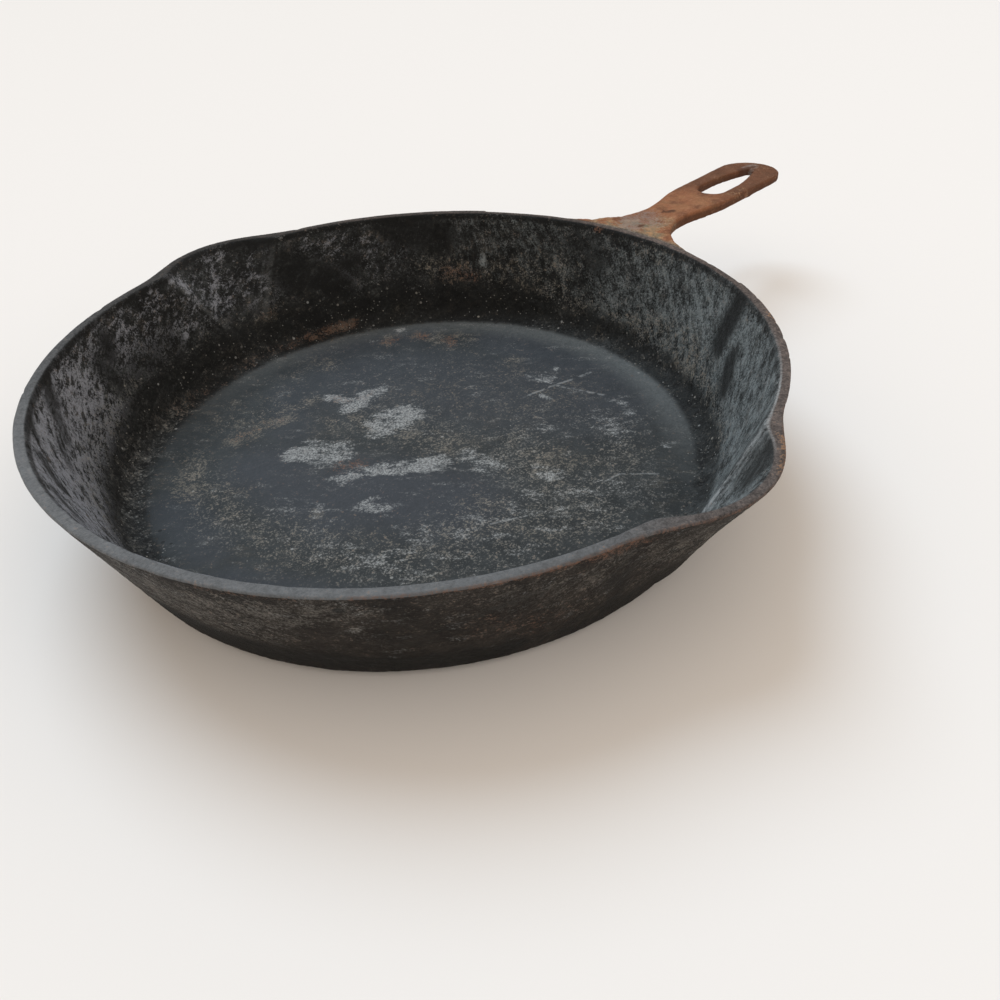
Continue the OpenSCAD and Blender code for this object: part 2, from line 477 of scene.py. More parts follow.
# marks on the cooking floor: x, y, x, y of a stroke's two ends, its half width and its strength, in mm
floorMarks = {
    "lime": [
        (-2, 57, 2, 47, 3, 0.9), (0, 43, 15, 46, 4, 0.9), (-4, 45, 3, 42, 3.5, 0.9),
        (-2, 27, 13, 23, 4.5, 0.82), (-8, 20, 12, 17, 4.5, 0.78), (-37, 31, -27, 20, 6.5, 0.82),
        (-33, 34, -28, 29, 4, 0.74), (-38, 7, -26, 2, 3.2, 0.7), (-27, 2, -9, -14, 4.5, 0.78),
        (-18, -6, -5, -16, 5, 0.7), (4, -21, 5, -34, 6, 0.45), (60, 81, 62, 80, 2.5, 0.78),
        (66, 1, 70, -7, 3, 0.61), (57, -14, 57, -17, 1.4, 0.82), (72, -40, 74, -46, 1.6, 0.78),
        (69, -48, 71, -53, 1.6, 0.74), (-40, -15, -37, -22, 4, 0.49), (14, -47, 15, -57, 4, 0.40),
        (57, -45, 54, -59, 5, 0.29), (38, -32, 41, -40, 4, 0.33), (78, -4, 78, -4, 1.2, 0.82),
        (59, -76, 59, -76, 1.4, 0.82), (-28, -53, -28, -53, 1.3, 0.82), (9, -90, 9, -90, 1.3, 0.82),
        (-72, 37, -72, 37, 1.4, 0.74), (-60, 8, -54, -2, 8, 0.22), (-44, -42, -26, -60, 12, 0.23),
        (-12, -60, 10, -74, 12, 0.22), (-66, -20, -50, -46, 9, 0.27), (8, -58, 22, -76, 12, 0.22),
    ],
    "tan": [
        (-48, 61, -40, 60, 5, 0.68), (-40, 70, -32, 62, 4, 0.5), (-33, 61, -24, 57, 4.5, 0.7),
        (-22, 64, -8, 60, 5, 0.36), (-67, 61, -80, 44, 7, 0.48), (-76, 40, -66, 30, 6, 0.4),
        (-4, 34, -5, 25, 8, 0.48), (-16, 40, 2, 14, 9, 0.34), (-56, -2, -56, -5, 2.5, 0.8),
        (61, 70, 63, 66, 4, 0.68), (47, 77, 52, 79, 4, 0.68), (68, 62, 65, 51, 6, 0.58),
        (73, 56, 75, 48, 4, 0.64), (13, 86, 16, 78, 6, 0.4), (2, 6, 6, -12, 12, 0.4),
        (21, -41, 27, -49, 8, 0.54), (14, -47, 15, -57, 6, 0.48), (24, -30, 10, -36, 10, 0.32),
        (-14, -43, -11, -49, 6, 0.44), (-30, 74, 30, 96, 7, 0.24), (-78, 30, -76, 0, 8, 0.34),
        (-70, -14, -46, -52, 14, 0.34), (-34, -54, 4, -78, 14, 0.36), (14, -58, 34, -66, 12, 0.36),
        (44, -8, 66, -20, 14, 0.29), (66, 6, 72, 16, 6, 0.4), (20, 30, 44, 6, 18, 0.26),
        (27, 108, 36, 106, 1.6, 0.6), (36, 106, 47, 102, 1.8, 0.66), (36, -62, 52, -66, 8, 0.32),
        (-50, 76, -34, 86, 5, 0.28), (40, 20, 60, 40, 10, 0.21),
    ],
    "rust": [
        (24, 109, 36, 106, 2.4, 0.5), (36, 106, 48, 102, 2.6, 0.55), (13, 110, 24, 109, 2.4, 0.33),
        (-32, 12, -26, 8, 4, 0.36), (47, 77, 52, 77, 3, 0.48), (61, 71, 63, 66, 3, 0.48),
        (-2, 57, 1, 49, 2, 0.33), (4, 46, 12, 46, 2, 0.3), (-40, 62, -28, 60, 4, 0.22),
        (94, -35, 94, -35, 1.2, 0.6), (69, 56, 66, 51, 4, 0.42), (-48, 62, -44, 60, 3, 0.3),
    ],
    "pepper": [
        (-80, 20, -60, -40, 14, 0.33), (-60, -46, -30, -74, 18, 0.32), (-30, -50, 10, -80, 18, 0.32),
        (10, -56, 30, -84, 18, 0.32), (44, -66, 30, -84, 16, 0.33), (24, -30, 8, -48, 14, 0.39),
        (40, -26, 62, -56, 14, 0.27), (-6, 30, 10, -4, 16, 0.31), (-40, 70, 40, 50, 12, 0.2),
        (-70, 48, -84, 10, 10, 0.28), (50, 0, 70, 50, 18, 0.15), (-20, 100, 90, 20, 12, 0.12),
    ],
    # bluish wiped patches; the strokes at the back right, x 20 to 86, are painted reflection that lightens
    # the floor where the back wall shades it
    "smooth": [
        (-38, -4, -20, -36, 20, 1), (-52, 34, -50, -8, 15, 0.9), (70, -30, 20, 60, 30, 0.7),
        (86, -30, 84, 36, 14, 0.7), (-98, -14, -70, -72, 10, 0.8), (-92, 10, -88, 40, 9, 0.6),
        (20, 98, 66, 72, 10, 0.8), (-28, 48, -10, 74, 10, 0.6),
    ],
}

# marks on the bowl's inner face: degrees round from the handle and mm up at both ends, half width, strength
innerMarks = {
    "scour": [
        (120, 49, 119, 42, 9, 0.43), (129, 44, 133, 36, 9, 0.33), (135, 45, 138, 34, 9, 0.49),
        (146, 49, 154, 39, 9, 0.66), (152, 46, 168, 30, 10, 0.7), (160, 49, 178, 33, 11, 0.74),
        (166, 40, 184, 24, 12, 0.74), (172, 30, 190, 14, 11, 0.66), (178, 44, 196, 30, 12, 0.74),
        (150, 34, 166, 18, 9, 0.47), (140, 30, 150, 18, 8, 0.33), (90, 48, 92, 31, 7, 0.35),
        (99, 42, 93, 30, 5, 0.43), (102, 51, 98, 39, 2.2, 0.62), (82, 42, 88, 30, 8, 0.2),
        (64, 28, 63, 22, 6, 0.27), (108, 46, 112, 30, 9, 0.3), (70, 44, 58, 36, 9, 0.23),
        (-24, 34, -29, 32, 9, 0.62), (-25, 25, -31, 32, 8, 0.56), (-14, 44, -31, 44, 11, 0.43),
        (-40, 36, -40, 24, 6, 0.7), (-48, 44, -55, 44, 8, 0.48), (-56, 40, -55, 19, 8, 0.61),
        (-56, 28, -61, 12, 7, 0.66), (-62, 44, -64, 20, 8, 0.62), (-72, 44, -70, 14, 10, 0.58),
        (-50, 50, -57, 50, 3, 0.55), (-33, 22, -30, 14, 6, 0.39), (-8, 40, -12, 30, 9, 0.31),
        (6, 36, 2, 24, 9, 0.14), (24, 44, 18, 32, 10, 0.1), (32, 31, 32, 29, 1.6, 0.78),
        (25, 49.5, 25, 49, 1.4, 0.7), (105, 27.2, 105, 26.8, 1.2, 0.78), (-80, 42, -100, 42, 12, 0.55),
        (-84, 28, -96, 28, 10, 0.47), (204, 44, 240, 30, 14, 0.55), (244, 36, 262, 24, 12, 0.47),
        (118, 40, 140, 36, 12, 0.35), (138, 38, 150, 33, 15, 0.58), (150, 32, 166, 30, 16, 0.74),
        (164, 36, 186, 26, 16, 0.76), (180, 30, 200, 28, 18, 0.64), (126, 45, 118, 46, 7, 0.32),
        (130, 22, 150, 20, 9, 0.5), (156, 20, 178, 17, 11, 0.74), (-94, 30, -72, 30, 22, 0.5),
        (-74, 30, -68, 26, 7, 0.7), (-47, 31, -44, 27, 5, 0.66), (-66, 28, -44, 28, 20, 0.48),
        (-38, 28, -20, 28, 18, 0.42), (-12, 30, 6, 30, 18, 0.12), (12, 38, 40, 34, 14, 0.05),
        (44, 36, 110, 38, 12, 0.1), (108, 36, 124, 34, 12, 0.22), (-70, 26, -60, 20, 6, 0.66),
        (-54, 26, -50, 20, 5, 0.58), (-82, 24, -66, 10, 5, 0.62), (152, 48, 176, 48, 6, 0.5),
        (176, 47, 204, 47, 8, 0.66), (136, 36, 176, 30, 14, 0.68), (168, 24, 192, 22, 12, 0.66),
        (-70, 38, -30, 34, 22, 0.52), (-30, 26, -4, 26, 16, 0.34), (84, 34, 122, 32, 12, 0.27),
        (-84, 30, -74, 12, 8, 0.58),
    ],
    "tan": [
        (88, 18, 83, 20, 3.5, 0.51), (44, 29, 38, 23, 8, 0.33), (21, 23, 13, 20, 7, 0.33),
        (9, 16, 5, 15, 5, 0.33), (-10, 17, -20, 20, 7, 0.37), (-26, 14, -36, 18, 8, 0.4),
        (-25, 25, -29, 22, 6, 0.36), (-41, 12, -44, 16, 5, 0.36), (0, 8, -2, 8, 3, 0.48),
        (54, 9, 52, 11, 3, 0.48), (60, 12, 30, 12, 6, 0.2), (126, 10, 114, 5, 6, 0.3),
        (104, 14, 92, 10, 6, 0.28), (132, 14, 150, 7, 6, 0.28), (-2, 14, -17, 13, 5, 0.33),
        (64, 14, 100, 14, 10, 0.22), (-46, 14, -60, 10, 6, 0.25), (-9, 47, -11, 47, 6, 0.27),
        (154, 14, 180, 12, 9, 0.24), (30, 18, 10, 30, 12, 0.22), (180, 8, 350, 8, 7, 0.24),
    ],
    "rust": [
        (41, 24, 34, 23, 4, 0.36), (6, 50, 5, 50, 1.5, 0.54), (86, 20, 83, 21, 2, 0.27),
        (100, 6, 70, 6, 2.5, 0.21), (120, 6, 104, 6, 2.5, 0.21),
    ],
    "pepper": [
        (120, 10, 200, 10, 9, 0.5), (20, 15, 90, 13, 9, 0.26), (90, 13, 130, 15, 10, 0.36),
        (-60, 13, 20, 15, 10, 0.3), (126, 22, 160, 20, 10, 0.42),
    ],
    "soot": [
        (141, 51, 144, 43, 3.2, 0.66), (145, 45, 147, 40, 3, 0.6), (161, 45, 166, 38, 3, 0.62),
        (127, 36, 127, 28, 6, 0.5), (146, 40, 150, 34, 3.2, 0.6), (122, 43, 124, 38, 4, 0.6),
        (153, 50, 157, 46, 2.2, 0.6), (152, 36, 156, 32, 2.6, 0.56), (170, 44, 175, 39, 2.2, 0.6),
        (-82, 50, -84, 43, 6, 0.62), (-80.5, 44, -80, 34, 4, 0.55), (-36, 46, -36, 31, 5.5, 0.82),
        (-42, 31, -45, 22, 5, 0.7), (77, 36, 66, 22, 9, 0.66), (52, 49, 42, 39, 8, 0.66),
        (78, 50, 84, 50, 3, 0.66), (64, 33, 61, 35, 3, 0.66), (20, 12, 80, 12, 9, 0.74),
        (80, 14, 130, 13, 9, 0.7), (20, 12, -10, 9, 6, 0.57), (-10, 8, -70, 7, 5, 0.57),
        (130, 12, 176, 10, 8, 0.61), (110, 26, 124, 24, 9, 0.34), (-100, 50, -126, 46, 5, 0.57),
        (176, 8, 290, 8, 6, 0.49), (10, 44, 4, 36, 6, 0.41),
    ],
}

outerMarks = {
    "scour": [
        (194, 41, 200, 28, 9, 0.57), (200, 39, 212, 40, 7, 0.55), (212, 40, 222, 42, 6, 0.39),
        (238, 38, 260, 38, 12, 0.28), (176, 36, 192, 34, 12, 0.51), (100, 34, 170, 34, 14, 0.37),
        (262, 36, 300, 34, 12, 0.37), (310, 34, 350, 30, 13, 0.37), (20, 30, 80, 34, 13, 0.32),
        (221, 33, 221, 33, 1.6, 0.92), (217, 44, 217, 44, 2, 0.74), (172, 30, 204, 30, 16, 0.5),
        (204, 42, 220, 44, 6, 0.42),
    ],
    "tan": [
        (202, 43, 207, 48, 4, 0.2), (228, 8, 232, 10, 5, 0.2), (252, 38, 262, 35, 8, 0.2),
        (275, 51, 280, 51, 3, 0.66), (313.5, 51, 316, 51, 2.2, 0.6), (252, 20, 262, 12, 9, 0.2),
        (196, 20, 214, 14, 6, 0.13), (232, 34, 238, 24, 10, 0.14), (240, 45, 244, 44, 5, 0.13),
        (264, 36, 284, 26, 12, 0.17), (292, 20, 350, 26, 14, 0.15), (10, 20, 160, 22, 14, 0.14),
    ],
    "rust": [
        (222, 50.8, 234, 50.9, 0.9, 0.6), (234, 50.8, 241, 50.7, 1.1, 0.8),
        (241, 50.5, 254, 50.5, 1.3, 0.75), (248, 48, 256, 47, 1.6, 0.4), (256, 50.7, 272, 50.7, 1, 0.6),
        (204, 49, 216, 50, 1.2, 0.3), (236, 28, 246, 18, 8, 0.2), (300, 48, 352, 48, 3, 0.5),
        (8, 48, 60, 48, 3, 0.4), (100, 40, 150, 20, 8, 0.2), (310, 14, 350, 18, 9, 0.25),
        (276, 50.8, 282, 50.8, 2.6, 0.9), (262, 50.8, 275, 50.8, 1.6, 0.6), (284, 50.8, 288, 50.8, 1.2, 0.5),
        (318, 50.6, 322, 50.6, 1.4, 0.6), (342, 50.6, 350, 50.6, 1.4, 0.5),
    ],
    "soot": [
        (190, 14, 206, 11, 7, 0.9), (206, 11, 240, 9, 7, 0.75), (220.2, 44.3, 220.2, 44.3, 1.1, 1.4),
        (254, 36, 256, 12, 6, 0.5), (246, 10, 300, 9, 8, 0.6), (160, 11, 190, 12, 8, 0.7),
        (228, 28, 240, 34, 9, 0.35), (300, 9, 520, 9, 8, 0.6),
    ],
}

# marks on the handle's top, in mm along and across
handleMarks = {
    "tan": [
        (134, -16, 136, 12, 4, 0.8), (138, -12, 146, -4, 5, 0.95), (144, 6, 150, -6, 5, 0.8),
        (136, 14, 142, 24, 5, 0.85), (156, -8, 158, -2, 4, 0.55), (133, -34, 134, -22, 3, 0.7),
        (205, -11, 214, -12, 3, 0.36), (133, 30, 134, 50, 3, 0.6), (252, -3, 250, 3, 4, 0.3),
    ],
    "scour": [(140, 2, 148, 8, 6, 0.8), (150, -3, 158, 6, 6, 0.6), (247, 3, 252, 3, 3, 0.9)],
    "soot": [
        (166, 0.5, 169, -2, 1.4, 1.3), (143, -1, 144, -1, 1.1, 1), (242, 5, 252, 1.5, 1.3, 1.2),
        (197, 1, 199, 0, 2, 0.6),
    ],
}

markKinds = ("lime", "tan", "rust", "scour", "soot", "smooth", "pepper")
softness = {"floor": 0.7, "wall": 0.85, "handle": 0.8}      # of a stroke's edge
mmPerDegree = 2.18      # round the wall's middle

# how burnished and brown the rim is, where its inner edge is worn pale with a painted highlight, and where
# painted shade lies below it: degrees round and a share
rimWear = {
    "steel": [
        (-180, 1), (-122, 1), (-108, 0.75), (-98, 0.3), (-80, 0.25), (-62, 0.25), (-45, 0.2), (-25, 0.12),
        (-12, 0.2), (8, 0.1), (90, 0.06), (108, 0.14), (122, 0.3), (136, 0.5), (150, 0.8), (165, 1),
        (180, 1),
    ],
    "brown": [
        (-180, 0), (-128, 0), (-112, 0.15), (-98, 0.5), (-76, 0.6), (-60, 0.75), (-45, 0.65), (-28, 0.5),
        (-12, 0.85), (2, 0.55), (16, 0.3), (60, 0.25), (76, 0.08), (110, 0.03), (180, 0),
    ],
    # worn pale inner edge of the rim, partly a painted highlight along it
    "edgeWearAndHighlight": [(-180, 0), (-84, 0), (-78, 0.7), (-68, 0.95), (-61, 0.5), (-50, 0.1), (-42, 0), (180, 0)],
    # painted shade under the rim's inner edge, by how far round
    "underRimShade": [
        (-180, 0.5), (-150, 0), (-66, 0), (-56, 0.5), (-20, 0.9), (110, 0.8), (150, 0.9), (172, 0.8),
        (180, 0.5),
    ],
}


# the strongest of the strokes at each point: each is full along its middle and fades to its edge
def strokes(across, up, marks, soft):
    field = np.zeros(len(across))
    for x0, y0, x1, y1, halfWidth, strength in marks:
        runX = x1 - x0
        runY = y1 - y0
        length2 = max(runX ** 2 + runY ** 2, 1e-9)
        along = np.clip(((across - x0) * runX + (up - y0) * runY) / length2, 0, 1)
        away = np.hypot(across - x0 - along * runX, up - y0 - along * runY)
        fade = ramp(away, halfWidth * (1 - soft), halfWidth * (1 + soft))
        field = np.maximum(field, strength * (1 - fade))
    return field


# degrees become mm round the wall, and each stroke is laid a whole turn either way as well
def wrapMarks(marks):
    laid = []
    for a0, z0, a1, z1, halfWidth, strength in marks:
        for lap in (-360, 0, 360):
            laid.append(((a0 + lap) * mmPerDegree, z0, (a1 + lap) * mmPerDegree, z1, halfWidth, strength))
    return laid


# where soot, rust, lime, scoured iron and the rim's painted highlight and painted shade sit is stored on the
# skin for the finish to read
def paintMarks(pan):
    co = readPoints(pan)
    across = wallPlace(co)
    justPastRim = bowl["rimRadius"] / mm + 0.4
    x, y, z = (co / mm).T
    turn = np.degrees(np.arctan2(y, x)) % 360
    arc = turn * mmPerDegree
    radius = np.hypot(x, y)
    onHandle = (radius > justPastRim) & (x > 60) & (np.abs(y) < 70)
    inside = (across < 0.5) & (z > 3) & ~onHandle
    outside = (across >= 0.5) & ~onHandle
    fields = {}
    for kind in markKinds:
        field = np.zeros(len(co))
        if kind in floorMarks:
            flat = inside & (radius < 114)
            field = np.where(flat, strokes(x, y, floorMarks[kind], softness["floor"]), field)
        if kind in innerMarks:
            wall = strokes(arc, z, wrapMarks(innerMarks[kind]), softness["wall"]) * ramp(radius, 104, 109)
            field = np.where(inside, np.maximum(field, wall), field)
        if kind in outerMarks:
            field = np.where(outside, strokes(arc, z, wrapMarks(outerMarks[kind]), softness["wall"]), field)
        if kind in handleMarks:
            field = np.where(onHandle, strokes(x, y, handleMarks[kind], softness["handle"]), field)
        fields[kind] = field
    for kind, stops in rimWear.items():
        fields[kind] = np.interp((turn + 180) % 360 - 180, *zip(*stops))
    fields["across"] = across
    for name, field in fields.items():
        layer = pan.data.attributes.new(name=name, type="FLOAT", domain="POINT")
        layer.data.foreach_set("value", field.astype(np.float32))
    print("marks painted:", ", ".join(fields))


# noise size, depth and vertex group of each roughness
surface = {
    "wave": (14 * mm, 0.26 * mm, ""),               # slow unevenness of the whole casting
    "grain": (2.4 * mm, 0.3 * mm, "wallGrain"),     # sand-cast skin of the walls
    "scale": (3.6 * mm, 0.9 * mm, "corner"),        # baked-on carbon in the bowl's corner and low outside
    "crust": (4.2 * mm, 1.1 * mm, "crust"),         # rust and dried grease where the handle meets the rim
}

# knocks in the rim: degrees round, place across the wall, size and depth in mm
nicks = [
    (-52, 1, 1.6, 0.35), (-47, 1, 1.2, 0.25), (-22, 0.9, 1.6, 0.25), (198, 1, 1.6, 0.25),
    (231, 1, 1.8, 0.2), (252, 0, 1.4, 0.2), (160, 0, 1.6, 0.2), (-66, 0.1, 1.3, 0.3),
    (72, 1, 1.8, 0.3), (118, 1, 1.6, 0.25), (-128, 1, 2, 0.25), (146, 1, 1.2, 0.25),
    (-79, 1, 1, 0.3), (-71, 0.9, 0.9, 0.25), (204, 0.9, 1.2, 0.2), (215, 0.1, 1.2, 0.2),
    (240, 0.9, 1.1, 0.2), (-58, 0.95, 0.9, 0.25), (-38, 1, 1.2, 0.2), (183, 0.95, 1.1, 0.2),
]


def displace(piece, name, size, depth, group):
    texture = bpy.data.textures.new(name, "CLOUDS")
    texture.noise_scale = size
    texture.noise_depth = 3
    useModifier(piece, "DISPLACE", texture=texture, texture_coords="LOCAL",
                strength=depth, mid_level=0.5, vertex_group=group)


def roughen(pan):
    co = readPoints(pan)
    across = wallPlace(co)
    z = co[:, 2]
    radius = np.hypot(co[:, 0], co[:, 1])
    below = 1 - ramp(z, 48.5 * mm, 50.5 * mm)
    wall = below * ramp(radius, 104 * mm, 112 * mm)
    corner = ramp(radius, 103 * mm, 108 * mm) * (1 - ramp(z, 12 * mm, 24 * mm)) * (z > 1 * mm)
    corner *= np.where(across < 0.5, 1, 0.2)
    root = ramp(across, 1.4, 2.6) * (1 - ramp(radius, 146 * mm, 160 * mm)) * (co[:, 0] > 80 * mm)
    addGroup(pan, "wallGrain", wall * 0.9 + 0.1)
    addGroup(pan, "corner", corner)
    addGroup(pan, "crust", root * (z > 30 * mm))
    for name, (size, depth, group) in surface.items():
        displace(pan, name, size, depth, group)
    co = readPoints(pan)
    for turn, place, size, depth in nicks:
        r = innerRim + place * (bowl["rimRadius"] - innerRim)
        a = math.radians(turn)
        spot = np.array([r * math.cos(a), r * math.sin(a), bowl["height"]])
        away = np.linalg.norm(co - spot, axis=1) / (size * mm)
        push = depth * mm * np.exp(-away ** 2)
        co[:, 2] -= 0.6 * push
        side = 1 if place > 0.5 else -1
        co[:, 0] -= side * push * math.cos(a)
        co[:, 1] -= side * push * math.sin(a)
    writePoints(pan, co)
    print("skin roughened")


# no grain or crust stands out of the pan's own outer size
def keepInBox(pan):
    writePoints(pan, np.clip(readPoints(pan), *np.array(cadBox)))


finish = {
    "soot": (0.0056, 0.0062, 0.0063),
    "wallBlack": (0.0195, 0.0215, 0.022),
    "wallGrey": (0.044, 0.048, 0.049),
    "wallBrown": (0.036, 0.032, 0.026),
    # scoured iron lightened and made bluer as painted light
    "scouredLeftAndLit": (0.22, 0.232, 0.262),
    "scouredRight": (0.184, 0.212, 0.222),
    "floorDark": (0.018, 0.0212, 0.0225),
    "floorSlate": (0.0325, 0.037, 0.039),
    # bluish wiped iron, at the back right also painted reflection
    "floorBlueAndSheen": (0.0385, 0.044, 0.054),
    "floorBrown": (0.05, 0.045, 0.036),
    # polished iron at the floor's edge, lightened as a painted highlight
    "floorRingPolishAndHighlight": (0.125, 0.137, 0.14),
    "pepper": (0.105, 0.108, 0.105),
    "outsideBlack": (0.0095, 0.0078, 0.0066),
    "outsideGrey": (0.028, 0.0235, 0.02),
    "outsideScoured": (0.115, 0.108, 0.097),
    "rimSteel": (0.125, 0.134, 0.143),
    "rimBrown": (0.128, 0.09, 0.074),
    "rimDark": (0.014, 0.012, 0.01),
    "rimOrange": (0.3, 0.165, 0.085),
    "lime": (0.31, 0.325, 0.33),
    # pale rubbed iron, on the rim's inner edge also a painted highlight
    "worn": (0.3, 0.32, 0.33),
    "crumb": (0.3, 0.285, 0.25),
    "tan": (0.208, 0.186, 0.151),
    "rust": (0.15, 0.082, 0.056),
    "handleRust": (0.262, 0.108, 0.052),
    # dark rust, also used as painted shade on the handle's sides
    "handleDarkAndShade": (0.082, 0.034, 0.018),
    "handleTan": (0.36, 0.205, 0.1),
    "handleGreen": (0.165, 0.15, 0.105),
    "handleGrey": (0.22, 0.19, 0.175),
}

iron = bpy.data.materials.new("burntIron")
iron.use_nodes = True


# a shader node with its settings
def put(kind, **settings):
    node = iron.node_tree.nodes.new("ShaderNode" + kind)
    for key, value in settings.items():
        setattr(node, key, value)
    return node


# an input's value is another node's output, the name of a colour in the finish or a plain number
def feed(sockets, *values):
    for socket, value in zip(sockets, values):
        if isinstance(value, bpy.types.NodeSocket):
            iron.node_tree.links.new(value, socket)
        elif socket.type == "RGBA":
            socket.default_value = (*finish[value], 1)
        else:
            socket.default_value = value


def maths(operation, a, b=0.0, clamp=False):
    node = put("Math", operation=operation, use_clamp=clamp)
    feed(node.inputs, a, b)
    return node.outputs[0]


def times(first, *rest):
    for value in rest:
        first = maths("MULTIPLY", first, value)
    return first


def add(first, *rest):
    for value in rest:
        first = maths("ADD", first, value)
    return first


def hypot(a, b):
    return maths("SQRT", add(times(a, a), times(b, b)))


def invert(value):
    return maths("SUBTRACT", 1.0, value, clamp=True)


def vectors(operation, a, b):
    node = put("VectorMath", operation=operation)
    feed([node.inputs[0], node.inputs["Scale" if operation == "SCALE" else 1]], a, b)
    return node.outputs["Value" if operation in ("DISTANCE", "DOT_PRODUCT") else "Vector"]


def remap(value, low, high, newLow=0.0, newHigh=1.0, smooth=True):
    node = put("MapRange", interpolation_type="SMOOTHSTEP" if smooth else "LINEAR")
    feed(node.inputs, value, low, high, newLow, newHigh)
    return node.outputs[0]


def mixColour(factor, under, over):
    node = put("Mix", data_type="RGBA")
    feed([node.inputs[0], *node.inputs[6:8]], factor, under, over)
    return node.outputs[2]


def mixNumber(factor, under, over):
    node = put("Mix", data_type="FLOAT")
    feed([node.inputs[0], *node.inputs[2:4]], factor, under, over)
    return node.outputs[0]


def shade(colour, factor):
    return vectors("SCALE", colour, factor)


# a weak mark shows only where the grain peaks, a full one covers
def cover(mark, grain, soft):
    return remap(maths("SUBTRACT", grain, invert(mark)), -soft, soft)


def readMark(name):
    return put("Attribute", attribute_name=name).outputs["Fac"]


# noises of the finish: size of their features, layers of detail and share of each finer layer
grains = {
    "cloud": (36 * mm, 4, 0.5),
    "blotch": (13 * mm, 9, 0.68),
    "other": (9 * mm, 9, 0.72),
    "fleck": (4.2 * mm, 7, 0.76),
    "speck": (1.4 * mm, 4, 0.75),
    "salt": (0.8 * mm, 2, 0.8),
    "wiped": (5 * mm, 9, 0.76),
    "streak": (4.4 * mm, 9, 0.78),
    "spots": (4.6 * mm, 6, 0.7),
}
layerSwing = 0.27       # of a noise with one layer, either side of a half
sumSwing = 0.5 / 0.707  # of several opened noises, for shares that join to 1


# the swing shrinks as finer layers are added, and is opened to 0 to 1 again
def noise(place, kind):
    size, detail, rough = grains[kind]
    node = put("TexNoise")
    sockets = [node.inputs[name] for name in ("Vector", "Scale", "Detail", "Roughness")]
    feed(sockets, place, 1 / size, detail, rough)
    layers = rough ** np.arange(detail + 1)
    swing = layerSwing * math.sqrt((layers ** 2).sum()) / layers.sum()
    return remap(node.outputs["Fac"], 0.5 - swing, 0.5 + swing, smooth=False)


# shares of several noises, with the swing that their sum loses opened again
def together(*parts):
    total = add(0.0, *[times(value, share) for value, share in parts])
    swing = sumSwing * math.hypot(*[share for _, share in parts])
    return remap(total, 0.5 - swing, 0.5 + swing, smooth=False)


# a grain's swing as a factor between two numbers
def swingOf(grain, low, high):
    return remap(grain, 0.1, 0.9, low, high, smooth=False)


def spin(place, angle):
    node = put("VectorRotate", rotation_type="Z_AXIS")
    feed([node.inputs["Vector"], node.inputs["Angle"]], place, angle)
    return node.outputs[0]


# fine scratches on the cooking floor: x, y of both ends and half width, in mm
scratches = [
    (51, -9, 69, -13, 0.6), (69, -13, 86, -18, 0.65), (66, 3, 67, -9, 0.6), (68, -14, 74, -34, 0.6),
    (33, -73, 42, -84, 0.4), (27, -72, 33, -73, 0.35), (-19, -56, -8, -63, 0.4),
]

# small burnt pits on the floor near the wall: x, y and radius in mm
pits = [
    (-104, 30, 1.5), (-98, 31.5, 0.8), (-106, 35, 1), (-100.5, 25, 0.8), (-106.5, 23, 1),
    (-102.5, 36.5, 0.7), (-101, 33, 0.6), (-99, 22, 0.6),
]

# scuffs along the crease where a spout's channel meets the bowl: mm beside it, half width in mm, strength
creaseLines = [(0.0, 1.0, 1.0), (-2.0, 0.5, 0.55), (-3.6, 0.5, 0.3), (2.4, 0.5, 0.4)]


def pitMarks(place):
    flat = vectors("MULTIPLY", place, (1, 1, 0))
    total = 0.0
    for x, y, size in pits:
        away = vectors("DISTANCE", flat, (x * mm, y * mm, 0))
        total = maths("MAXIMUM", remap(away, 0.6 * size * mm, 1.2 * size * mm, 1, 0), total)
    return total


def scratchMarks(place):
    wobble = put("TexNoise")
    feed([wobble.inputs["Vector"], wobble.inputs["Scale"]], place, 120.0)
    aside = vectors("SCALE", vectors("SUBTRACT", wobble.outputs["Color"], (0.5, 0.5, 0.5)), 2.2 * mm)
    flat = vectors("MULTIPLY", vectors("ADD", place, aside), (1, 1, 0))
    total = 0.0
    for x0, y0, x1, y1, halfWidth in scratches:
        run = np.array([x1 - x0, y1 - y0]) * mm
        start = vectors("SUBTRACT", flat, (x0 * mm, y0 * mm, 0))
        share = vectors("DOT_PRODUCT", start, (*(run / run.dot(run)), 0))
        walked = vectors("SCALE", (*run, 0), remap(share, 0, 1, smooth=False))
        away = vectors("DISTANCE", start, walked)
        line = remap(away, 0.5 * halfWidth * mm, 1.6 * halfWidth * mm, 1, 0)
        total = maths("MAXIMUM", line, total)
    return total


def creaseDistance(x, y, z, radius):
    fromAxis = maths("SUBTRACT", maths("ABSOLUTE", y), spoutAxis)
    depth = maths("SUBTRACT", bowl["height"], z)
    level = maths("SUBTRACT", innerRim - channelRadius, times(depth, lean - spoutSpread))
    return add(level, maths("SUBTRACT", hypot(x, fromAxis), radius))


# crumbs of dried food and grit: size of a cell and the share of cells that hold one
crumbs = [(1.2 * mm, 0.2), (2.6 * mm, 0.1)]


